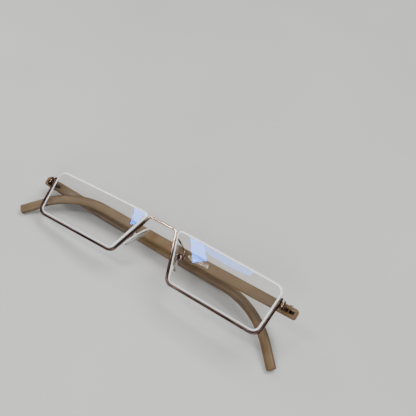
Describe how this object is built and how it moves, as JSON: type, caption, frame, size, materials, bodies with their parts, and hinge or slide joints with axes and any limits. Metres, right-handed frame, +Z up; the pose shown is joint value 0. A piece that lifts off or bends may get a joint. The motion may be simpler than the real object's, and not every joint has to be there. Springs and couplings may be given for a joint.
{
  "type": "folding reading glasses",
  "caption": "Slim half-rim reading glasses with a bent wire front, clear lenses, nose pads on wires and two bowed plastic side arms that fold over each other.",
  "frame": {"origin": "on the table, at the centre of the folded glasses' bounding box", "axes": "+Z up from the table, +X along the front towards the wearer's left, +Y towards the top edge of the lenses"},
  "size_m": [0.1404, 0.0246, 0.0273],
  "materials": {
    "bronze_wire": "polished dark bronze wire",
    "lens_resin": "clear resin with a blue anti-reflection coating",
    "clear_nylon": "clear nylon thread",
    "tan_plastic": "matte tan moulded plastic",
    "screw_steel": "small bright screws and inserts",
    "clear_silicone": "clear soft silicone"
  },
  "bodies": {
    "front": {"front_wire": "bronze_wire", "left_lens": "lens_resin", "left_lens_cord": "clear_nylon", "left_end_piece": "bronze_wire", "left_pad_wire": "bronze_wire", "left_pad_box": "bronze_wire", "left_pad_screw": "screw_steel", "right_lens": "lens_resin", "right_lens_cord": "clear_nylon", "right_end_piece": "bronze_wire", "right_pad_wire": "bronze_wire", "right_pad_box": "bronze_wire", "right_pad_screw": "screw_steel"},
    "left_arm": {"left_side_arm": "tan_plastic", "left_hinge_screw": "screw_steel"},
    "right_arm": {"right_side_arm": "tan_plastic", "right_hinge_screw": "screw_steel"},
    "left_pad": {"left_nose_pad": "clear_silicone", "left_pad_insert": "screw_steel"},
    "right_pad": {"right_nose_pad": "clear_silicone", "right_pad_insert": "screw_steel"}
  },
  "joints": [
    {"name": "right_arm_hinge", "type": "hinge", "parent": "front", "child": "right_arm", "pos_m": [-0.0643, 0.00732, 0.006], "axis": [-0.0105, 0.9138, 0.406], "range_deg": [0, 73]},
    {"name": "left_arm_hinge", "type": "hinge", "parent": "front", "child": "left_arm", "pos_m": [0.06327, 0.00732, 0.01865], "axis": [0.0296, -0.9142, -0.4043], "range_deg": [0, 0.25]},
    {"name": "left_pad_rock", "type": "hinge", "parent": "front", "child": "left_pad", "pos_m": [0.01231, 0.00486, 0.01419], "axis": [0.2556, 0.3409, -0.9047], "range_deg": [-6, 6]},
    {"name": "right_pad_rock", "type": "hinge", "parent": "front", "child": "right_pad", "pos_m": [-0.01345, 0.00486, 0.01164], "axis": [0.0729, -0.3409, 0.9373], "range_deg": [-6, 6]}
  ]
}
